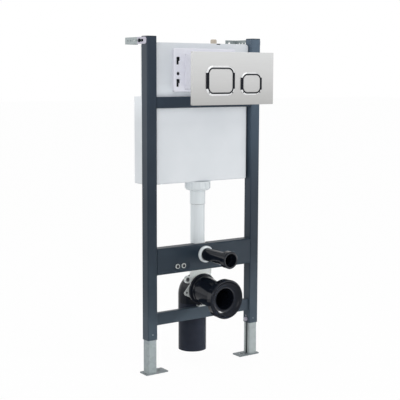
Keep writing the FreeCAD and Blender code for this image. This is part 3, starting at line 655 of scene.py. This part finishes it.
def model_socket(wide, tall, deep):
    """A dark moulded cup behind a hole, open to the front (towards -Y), with its rim at zero."""
    clear_selection()
    bpy.ops.mesh.primitive_cube_add(size=1.0, location=(0, deep / 2 * MM, 0))
    socket = bpy.context.object
    socket.scale = (wide * MM, deep * MM, tall * MM)
    bpy.ops.object.transform_apply(location=True, rotation=True, scale=True)
    open_mesh(socket)
    pick_edges(socket, lambda middle, run: abs(run.y) > ALONG)
    bpy.ops.mesh.bevel(offset=SOCKET_ROUND * MM, segments=4)
    pick_faces(socket, lambda middle, normal: normal.y < -ALONG)
    inset(SOCKET_WALL)
    pull(y=deep - SOCKET_FLOOR)
    inset(**SOCKET_GROOVE)
    close_mesh()
    return socket


def model_shadow_band(wide, tall, corner, band, thick):
    """A flat rounded frame, facing the front, with its back at zero and its opening at the given size."""
    clear_selection()
    bpy.ops.mesh.primitive_plane_add(size=1.0, rotation=(math.pi / 2, 0, 0))
    dark_band = bpy.context.object
    dark_band.scale = ((wide + 2 * band) * MM, (tall + 2 * band) * MM, 1.0)
    bpy.ops.object.transform_apply(location=True, rotation=True, scale=True)
    open_mesh(dark_band)
    bpy.ops.mesh.select_mode(type="VERT")
    bpy.ops.mesh.select_all(action="SELECT")
    bpy.ops.mesh.bevel(offset=(corner + band) * MM, segments=14, affect="VERTICES")
    pick_faces(dark_band, lambda middle, normal: True)
    inset(band)
    bpy.ops.mesh.delete(type="FACE")
    pick_faces(dark_band, lambda middle, normal: True)
    pull(y=-thick)
    bpy.ops.mesh.select_all(action="SELECT")
    bpy.ops.mesh.normals_make_consistent(inside=False)
    close_mesh()
    soften(dark_band, width=0.2)
    return dark_band


def model_dark_reflection_bar(wide, deep, tall, slope):
    """A dark bar over one side of a ring, a painted dark reflection in the chrome: its back at zero, its
    outer edge at zero and sloped like the ring.
    """
    clear_selection()
    bpy.ops.mesh.primitive_cube_add(size=1.0, location=(wide / 2 * MM, -deep / 2 * MM, 0))
    reflection_bar = bpy.context.object
    reflection_bar.scale = (wide * MM, deep * MM, tall * MM)
    bpy.ops.object.transform_apply(location=True, rotation=True, scale=True)
    open_mesh(reflection_bar)
    front, outer = -0.5 * deep * MM, 0.1 * wide * MM
    pick_edges(reflection_bar, lambda middle, run: abs(run.z) > ALONG and middle.y < front and middle.x < outer)
    bpy.ops.mesh.bevel(offset=slope * MM, segments=1)
    pick_faces(reflection_bar, lambda middle, normal: abs(normal.z) > ALONG)
    bpy.ops.transform.resize(value=(1.0, 1.0, 0.98))
    close_mesh()
    soften(reflection_bar, width=0.3)
    return reflection_bar


def model_bush(outer, inner, tall):
    """A round bush with an open bore, its middle at zero and its rims rounded."""
    clear_selection()
    bpy.ops.mesh.primitive_cylinder_add(vertices=48, radius=outer * MM, depth=tall * MM)
    bush = bpy.context.object
    open_mesh(bush)
    pick_faces(bush, lambda middle, normal: abs(normal.z) > ALONG)
    inset(outer - inner)
    bpy.ops.mesh.bridge_edge_loops()
    bpy.ops.mesh.select_all(action="SELECT")
    bpy.ops.mesh.normals_make_consistent(inside=False)
    close_mesh()
    soften(bush, width=0.5)
    return bush


def model_lip(radius, thick):
    """A round seal lip that hangs below zero, wider at its top."""
    clear_selection()
    bpy.ops.mesh.primitive_torus_add(major_segments=64, minor_segments=12,
                                     major_radius=(radius - thick) * MM, minor_radius=thick * MM)
    lip = bpy.context.object
    open_mesh(lip)
    pick_faces(lip, lambda middle, normal: middle.z < 0.0)
    bpy.ops.transform.resize(value=(0.985, 0.985, 1.2))
    close_mesh()
    return lip


def model_catch(wide, deep, tall):
    """A low clip over the cistern's top edge."""
    clear_selection()
    bpy.ops.mesh.primitive_cube_add(size=1.0)
    catch = bpy.context.object
    catch.scale = (wide * MM, deep * MM, tall * MM)
    bpy.ops.object.transform_apply(location=True, rotation=True, scale=True)
    open_mesh(catch)
    pick_edges(catch, lambda middle, run: abs(run.y) > ALONG)
    bpy.ops.mesh.bevel(offset=0.4 * tall * MM, segments=5)
    pick_faces(catch, lambda middle, normal: normal.y < -ALONG)
    inset(thickness=0.5, depth=-0.3)
    close_mesh()
    soften(catch, width=0.2)
    return catch


# The pieces at their places

# Clamp and hanger bolts: sizes, depth behind the uprights' fronts, height, and places across
CLAMP_BOLT = {"across": 13.0, "head_tall": 5.0, "washer_r": 8.0, "washer_tall": 1.6, "shank_r": 3.9,
              "shank_long": 9.0}
CLAMP_DEPTH = 19.0
CLAMP_HEIGHT = 132.0
HANGER_BOLTS = {"hanger_bolt_left": -36.0, "hanger_bolt_right": 23.0}
HANGER_BOLT_INSET = 9.0
HANGER_FOOT_THICK = 3.0


def fit_bolts():
    """Leg clamp bolts on the uprights' inner faces, and the bolts under the hanger's foot."""
    bolt = model_bolt(**CLAMP_BOLT)
    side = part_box("left_upright")[1].x - ZERO.x
    for name, x, turn in (("left_clamp_bolt", side, TO_RIGHT), ("right_clamp_bolt", -side, TO_LEFT)):
        place = ZERO + Vector((x, CLAMP_DEPTH * MM, CLAMP_HEIGHT * MM))
        placed_copy(bolt, name, place, turn, "frame", "zinc")
    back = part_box("waste_hanger")[1].y
    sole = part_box("toilet_beam")[0].z - HANGER_FOOT_THICK * MM
    for name, x in HANGER_BOLTS.items():
        place = Vector((ZERO.x + x * MM, back - HANGER_BOLT_INSET * MM, sole))
        placed_copy(bolt, name, place, DOWN, "frame", "zinc")
    put_away(bolt)


# Bolts of the wall brackets: sizes, and inset from the back end of the slotted plate
BRACKET_BOLT = {"across": 10.0, "head_tall": 2.8, "washer_r": 6.4, "washer_tall": 0.9, "shank_r": 3.9,
                "shank_long": 5.6}
BRACKET_BOLT_INSET = 13.0


def fit_bracket_bolts():
    """The bolts that hold each wall strap to its slotted plate."""
    bolt = model_bolt(**BRACKET_BOLT)
    for end, turn in (("left", TO_LEFT), ("right", TO_RIGHT)):
        low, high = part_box(f"{end}_slot_plate")
        x = low.x if end == "left" else high.x
        place = Vector((x, high.y - BRACKET_BOLT_INSET * MM, (low.z + high.z) / 2))
        placed_copy(bolt, f"{end}_bracket_bolt", place, turn, "frame", "cap_black")
    put_away(bolt)


# The hanger's eye and lug: sizes of their trim, and places measured left, and up or down, from the waste
# ring's middle, and back from the front of the hanger's ear
EYE_BUSH = {"outer": 7.4, "inner": 5.0, "tall": 7.6}
EYE_LEFT, EYE_UP, EYE_BACK = 64.0, 43.0, 3.5
LUG_RIVET = {"radius": 3.5, "tall": 1.2}
LUG_LEFT, LUG_DOWN, LUG_BACK = 66.0, 4.5, 4.0


def fit_hanger_trim():
    """A dark bush in the hanger's eye and a dark rivet in its lug."""
    ear_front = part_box("waste_hanger")[0].y
    low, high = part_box("waste_ring")
    middle = (low + high) / 2
    bush = model_bush(**EYE_BUSH)
    eye = Vector((middle.x - EYE_LEFT * MM, ear_front + EYE_BACK * MM, middle.z + EYE_UP * MM))
    placed_copy(bush, "hanger_eye_bush", eye, TO_FRONT, "frame", "drain_black")
    put_away(bush)
    rivet = model_rivet(**LUG_RIVET)
    hole = Vector((middle.x - LUG_LEFT * MM, ear_front + LUG_BACK * MM, middle.z - LUG_DOWN * MM))
    placed_copy(rivet, "hanger_lug_rivet", hole, TO_FRONT, "frame", "drain_black")
    put_away(rivet)


# Radius of the roll that makes the lip under the flush pipe's sleeve
SLEEVE_LIP = 0.85


def fit_pipe_seal():
    """A thin dark seal where the flush pipe enters its sleeve."""
    low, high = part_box("flush_sleeve")
    dark_band = model_lip((high.x - low.x) / 2 / MM, SLEEVE_LIP)
    middle = (low + high) / 2
    place = Vector((middle.x, middle.y, low.z))
    placed_copy(dark_band, "flush_sleeve_seal", place, UP, "frame", "cap_black")
    put_away(dark_band)


# Rivets: sizes, and places across and up on the uprights' fronts, or back and up on their inner faces
FRONT_RIVET = {"radius": 1.8, "tall": 0.9}
FRONT_RIVETS = {"left_front_rivet": (-217.0, 139.0), "right_front_rivet": (215.0, 137.5)}
SMALL_RIVET = {"radius": 2.4, "tall": 1.0}
SIDE_RIVET_X, SIDE_RIVET_Z = -210.4, 770.0
GUIDE_DEPTH = 21.0
GUIDE_HEIGHT = 145.0


def fit_rivets():
    """Rivets on the uprights' fronts, and those that guide the legs on their inner faces."""
    rivet = model_rivet(**FRONT_RIVET)
    for name, (x, z) in FRONT_RIVETS.items():
        placed_copy(rivet, name, at(x, 0.0, z), TO_FRONT, "frame", "galvanised")
    put_away(rivet)
    small = model_rivet(**SMALL_RIVET)
    place = at(SIDE_RIVET_X, 0.0, SIDE_RIVET_Z)
    placed_copy(small, "left_side_rivet", place, TO_FRONT, "frame", "frame_paint")
    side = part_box("left_upright")[1].x - ZERO.x
    for name, x, turn in (("left_guide_rivet", side, TO_RIGHT), ("right_guide_rivet", -side, TO_LEFT)):
        place = ZERO + Vector((x, GUIDE_DEPTH * MM, GUIDE_HEIGHT * MM))
        placed_copy(small, name, place, turn, "frame", "zinc")
    put_away(small)


# Welds: how deep the uprights are, how much a run falls short of its bar, and the beads' sizes
UPRIGHT_DEEP = 38.0
RUN_SHORT = 10.0
RUN_LEAST = 6.0
BAR_BEAD = 2.2
LEG_RUN = 26.0
LEG_BEAD = 1.9


def fit_bar_welds():
    """Weld runs over and under each cross member's ends."""
    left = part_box("left_upright")[1].x
    ends = (("left", left), ("right", 2 * ZERO.x - left))
    for bar in ("toilet_beam", "lower_crossbar", "upper_crossbar"):
        low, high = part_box(bar)
        back = min(high.y, ZERO.y + UPRIGHT_DEEP * MM)
        run = model_weld(max((back - low.y) / MM - RUN_SHORT, RUN_LEAST), BAR_BEAD)
        y = (low.y + back) / 2
        for end, x in ends:
            for edge, z in (("over", high.z), ("under", low.z)):
                name = f"{bar}_weld_{end}_{edge}"
                placed_copy(run, name, Vector((x, y, z)), UP, "frame", "frame_paint")
        put_away(run)


def fit_leg_welds():
    """Weld runs round each leg's root, but not on its open inner side."""
    run = model_weld(LEG_RUN, LEG_BEAD)
    across = Matrix.Rotation(math.pi / 2, 4, "Z")
    for end in ("left", "right"):
        low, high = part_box(f"{end}_leg")
        middle = (low + high) / 2
        outer = low.x if end == "left" else high.x
        for side, x, y, turn in (("front", middle.x, low.y, across), ("back", middle.x, high.y, across),
                                 (end, outer, middle.y, UP)):
            place = Vector((x, y, low.z))
            placed_copy(run, f"{end}_leg_weld_{side}", place, turn, f"{end}_leg_body", "galvanised")
    put_away(run)


# An M12 thread inside each stud bush, at the pan's two stud spacings
STUD_THREAD = {"outer": 6.05, "inner": 5.15, "pitch": 1.75, "turns": 11}
STUD_PLACES = {"thread_left_wide": -115.0, "thread_left_narrow": -90.0, "thread_right_narrow": 90.0,
               "thread_right_wide": 115.0}
THREAD_INSET = 1.0


def fit_threads():
    """The stud bushes' threads."""
    painted_shade_steel = thread_steel()
    thread = model_thread(**STUD_THREAD)
    low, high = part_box("left_stud_bushes")
    for name, x in STUD_PLACES.items():
        place = Vector((ZERO.x + x * MM, high.y - THREAD_INSET * MM, (low.z + high.z) / 2))
        piece = placed_copy(thread, name, place, TO_FRONT, "frame", "zinc")
        # the threads are darkened as painted shade in the bushes' bores
        piece.data.materials[0] = painted_shade_steel
    put_away(thread)


# Latch sockets behind the access panel: sizes, how far behind its front they start, inset from its ends,
# and heights from its middle
KEY_SOCKET = {"wide": 21.0, "tall": 35.0, "deep": 9.0}
ROUND_SOCKET = {"wide": 18.0, "tall": 18.0, "deep": 9.0}
SOCKET_BACK = 3.2
SOCKET_INSET = 16.0
KEY_ROWS = {"upper": 31.0, "lower": -43.0}
ROUND_ROW = -12.0


def fit_panel_sockets():
    """Dark latch sockets behind the access panel's keyholes and round holes."""
    low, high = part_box("access_panel")
    middle = (low + high) / 2
    back = low.y + SOCKET_BACK * MM
    key = model_socket(**KEY_SOCKET)
    hole = model_socket(**ROUND_SOCKET)
    for end, side in (("left", -1), ("right", 1)):
        x = middle.x + side * (high.x - middle.x - SOCKET_INSET * MM)
        for row, rise in KEY_ROWS.items():
            place = Vector((x, back, middle.z + rise * MM))
            placed_copy(key, f"latch_{end}_{row}", place, UP, "frame", "cap_black")
        place = Vector((x, back, middle.z + ROUND_ROW * MM))
        placed_copy(hole, f"latch_{end}_middle", place, UP, "frame", "cap_black")
    put_away(key)
    put_away(hole)


# The clip on the cistern: sizes and place
LID_CATCH = {"wide": 15.0, "deep": 5.0, "tall": 3.4}
LID_CATCH_X, LID_CATCH_Y, LID_CATCH_Z = 64.5, 18.9, 1122.9


def fit_lid_catch():
    """A dark clip on the housing's top edge."""
    catch = model_catch(**LID_CATCH)
    place = at(LID_CATCH_X, LID_CATCH_Y, LID_CATCH_Z)
    placed_copy(catch, "lid_catch", place, UP, "frame", "cap_black")
    put_away(catch)


# Trim of the buttons: their corner radius, the dark band round each as painted shade of the gap, and each
# ring's dark side bars as painted reflections, and pins.
# Shares are of the ring's height for a side bar, and of its band for a pin.
BUTTON_CORNER = 16.0
SHADOW_BAND_ROOM = 0.9
SHADOW_BAND_CORNER = 0.4
SHADOW_BAND_WIDTH = 4.4
SHADOW_BAND_THICK = 0.4
SHADOW_BAND_SINK = 0.05
REFLECTION_BAR_NARROWER = 0.6
REFLECTION_BAR_DEEP = 3.7
REFLECTION_BAR_SHARE = 0.55
REFLECTION_BAR_SLOPE = 1.4
REFLECTION_BAR_PROUD = 0.2
REFLECTION_BAR_SINK = 3.5
RING_PIN = {"radius": 2.2, "tall": 0.9}
PIN_SHARE = 0.75


def fit_button_trim():
    """A dark band round each button, painted shade of the gap, and on each ring its dark side bars, a
    painted reflection, and lower corner pins.
    """
    pin = model_rivet(**RING_PIN)
    about = Matrix.Rotation(math.pi, 4, "Y")
    for name in ("large", "small"):
        low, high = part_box(f"{name}_button")
        ring_low, ring_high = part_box(f"{name}_ring")
        middle = (low + high) / 2
        wide, tall = (high.x - low.x) / MM, (high.z - low.z) / MM
        band = (low.x - ring_low.x) / MM
        face = ring_low.y

        corner = BUTTON_CORNER + SHADOW_BAND_CORNER
        # painted shade: a dark band round the button where the gap's shadow falls
        dark_band = model_shadow_band(wide + SHADOW_BAND_ROOM, tall + SHADOW_BAND_ROOM, corner, SHADOW_BAND_WIDTH, SHADOW_BAND_THICK)
        place = Vector((middle.x, face + SHADOW_BAND_SINK * MM, middle.z))
        placed_copy(dark_band, f"{name}_button_shadow_band", place, UP, "frame", "drain_black")
        put_away(dark_band)

        ring_tall = (ring_high.z - ring_low.z) / MM
        # painted reflection: dark bars on the ring's sides where the chrome reflects dark
        reflection_bar = model_dark_reflection_bar(band - REFLECTION_BAR_NARROWER, REFLECTION_BAR_DEEP, REFLECTION_BAR_SHARE * ring_tall, REFLECTION_BAR_SLOPE)
        left, right = ring_low.x - REFLECTION_BAR_PROUD * MM, ring_high.x + REFLECTION_BAR_PROUD * MM
        for end, x, turn in (("left", left, UP), ("right", right, about)):
            place = Vector((x, face + REFLECTION_BAR_SINK * MM, middle.z))
            placed_copy(reflection_bar, f"{name}_ring_dark_reflection_{end}", place, turn, "frame", "drain_black")
        put_away(reflection_bar)

        out = (BUTTON_CORNER - (BUTTON_CORNER + PIN_SHARE * band) * math.sqrt(0.5)) * MM
        for end, x in (("left", low.x + out), ("right", high.x - out)):
            place = Vector((x, face, low.z + out))
            placed_copy(pin, f"{name}_ring_pin_{end}", place, TO_FRONT, "frame", "drain_black")
    put_away(pin)


fit_bolts()
fit_bracket_bolts()
fit_hanger_trim()
fit_pipe_seal()
fit_rivets()
fit_bar_welds()
fit_leg_welds()
fit_threads()
fit_panel_sockets()
fit_lid_catch()
fit_button_trim()


# Studio: pale floor, soft lamps and a white surround

# The white world's strength as a light, the floor's size in metres, how many millimetres it lies below
# the feet, and how far it is lifted to white where it shows
WORLD_LIGHT = 0.8
FLOOR_SIZE = 60.0
FLOOR_GAP = 0.2
FLOOR_WHITE = 0.96


def shown_white(tree):
    """One for camera, mirror and glass rays, which see the white surround."""
    path = tree.nodes.new("ShaderNodeLightPath")
    first = tree.nodes.new("ShaderNodeMath")
    first.operation = "MAXIMUM"
    tree.links.new(path.outputs["Is Camera Ray"], first.inputs[0])
    tree.links.new(path.outputs["Is Glossy Ray"], first.inputs[1])
    second = tree.nodes.new("ShaderNodeMath")
    second.operation = "MAXIMUM"
    tree.links.new(first.outputs[0], second.inputs[0])
    tree.links.new(path.outputs["Is Transmission Ray"], second.inputs[1])
    return second.outputs[0]


def build_surround():
    """A world that shows white and is a little weaker as a light."""
    world = bpy.data.worlds.new("studio")
    bpy.context.scene.world = world
    world.use_nodes = True
    tree = world.node_tree
    background = tree.nodes["Background"]
    background.inputs["Color"].default_value = (1.0, 1.0, 1.0, 1.0)
    strength = tree.nodes.new("ShaderNodeMapRange")
    strength.inputs["To Min"].default_value = WORLD_LIGHT
    strength.inputs["To Max"].default_value = 1.0
    tree.links.new(shown_white(tree), strength.inputs["Value"])
    tree.links.new(strength.outputs["Result"], background.inputs["Strength"])


def build_floor():
    """A pale floor that shows white and keeps the object's shadow."""
    clear_selection()
    bpy.ops.mesh.primitive_plane_add(size=FLOOR_SIZE, location=at(0.0, 0.0, -FLOOR_GAP))
    floor = bpy.context.object
    floor.name = "studio_floor"
    mat = bpy.data.materials.new("floor_pale")
    mat.use_nodes = True
    tree = mat.node_tree
    shader = tree.nodes["Principled BSDF"]
    shader.inputs["Base Color"].default_value = (0.88, 0.88, 0.88, 1.0)
    shader.inputs["Roughness"].default_value = 0.9
    shader.inputs["Specular IOR Level"].default_value = 0.0
    glow = tree.nodes.new("ShaderNodeEmission")
    mix = tree.nodes.new("ShaderNodeMixShader")
    share = tree.nodes.new("ShaderNodeMath")
    share.operation = "MULTIPLY"
    share.inputs[1].default_value = FLOOR_WHITE
    tree.links.new(shown_white(tree), share.inputs[0])
    tree.links.new(share.outputs[0], mix.inputs["Fac"])
    tree.links.new(shader.outputs["BSDF"], mix.inputs[1])
    tree.links.new(glow.outputs["Emission"], mix.inputs[2])
    tree.links.new(mix.outputs["Shader"], tree.nodes["Material Output"].inputs["Surface"])
    floor.data.materials.append(mat)


def add_lamp(name, place, aim, size, power, beam):
    """A round lamp turned towards a point."""
    lamp = bpy.data.lights.new(name, "AREA")
    lamp.shape = "DISK"
    lamp.size = size
    lamp.energy = power
    lamp.spread = math.radians(beam)
    obj = bpy.data.objects.new(name, lamp)
    bpy.context.scene.collection.objects.link(obj)
    obj.location = place
    obj.rotation_euler = (aim - place).to_track_quat("-Z", "Y").to_euler()


# The photograph's camera: place in the drawing, turn, focal length and width of the image in pixels, and
# width of the sensor in millimetres
CAMERA_PLACE = at(-1956.9, -2758.5, 1022.6)
CAMERA_YAW = math.radians(35.03)
CAMERA_PITCH = math.radians(7.34)
CAMERA_ROLL = math.radians(0.179)
FOCAL_PIXELS = 982.2
IMAGE_PIXELS = 400.0
SENSOR_WIDTH = 36.0


def build_camera():
    """The photograph's view: turned towards +X, looking a little down."""
    yaw, pitch, roll = CAMERA_YAW, CAMERA_PITCH, CAMERA_ROLL
    forward = Vector((math.sin(yaw) * math.cos(pitch), math.cos(yaw) * math.cos(pitch), -math.sin(pitch)))
    right = Vector((math.cos(yaw), -math.sin(yaw), 0.0))
    up = right.cross(forward)
    turned_right = right * math.cos(roll) + up * math.sin(roll)
    turned_up = up * math.cos(roll) - right * math.sin(roll)
    turn = Matrix((turned_right, turned_up, -forward)).transposed().to_4x4()
    lens = bpy.data.cameras.new("photo_camera")
    lens.sensor_width = SENSOR_WIDTH
    lens.lens = FOCAL_PIXELS / IMAGE_PIXELS * SENSOR_WIDTH
    lens.clip_end = 100.0
    camera = bpy.data.objects.new("photo_camera", lens)
    bpy.context.scene.collection.objects.link(camera)
    camera.matrix_world = Matrix.Translation(CAMERA_PLACE) @ turn
    bpy.context.scene.camera = camera


# Lamps: name, place, aim, size in metres, power in watts and beam in degrees
FRAME_MIDDLE = at(0.0, 0.0, 600.0)
LAMPS = (
    ("top_lamp", at(100.0, -500.0, 3200.0), FRAME_MIDDLE, 2.4, 6.5, 180.0),
    ("front_lamp", at(-2400.0, -3000.0, 1500.0), FRAME_MIDDLE, 2.0, 19.0, 180.0),
    ("left_lamp", at(-2600.0, -300.0, 200.0), FRAME_MIDDLE, 1.6, 8.0, 180.0),
    ("side_lamp", at(-1900.0, 2400.0, 900.0), FRAME_MIDDLE, 1.8, 8.0, 180.0),
    ("right_lamp", at(2410.0, -1090.0, 1100.0), FRAME_MIDDLE, 0.6, 1.4, 180.0),
    ("low_lamp", at(1000.0, -1100.0, 120.0), at(200.0, 0.0, 150.0), 0.8, 4.2, 180.0),
    ("spot_lamp", at(970.0, -940.0, 400.0), at(0.0, -110.0, 190.0), 0.42, 0.28, 16.0),
)

build_surround()
build_floor()
for name, place, aim, size, power, beam in LAMPS:
    add_lamp(name, place, aim, size, power, beam)
build_camera()
bpy.context.scene.view_settings.view_transform = "Standard"
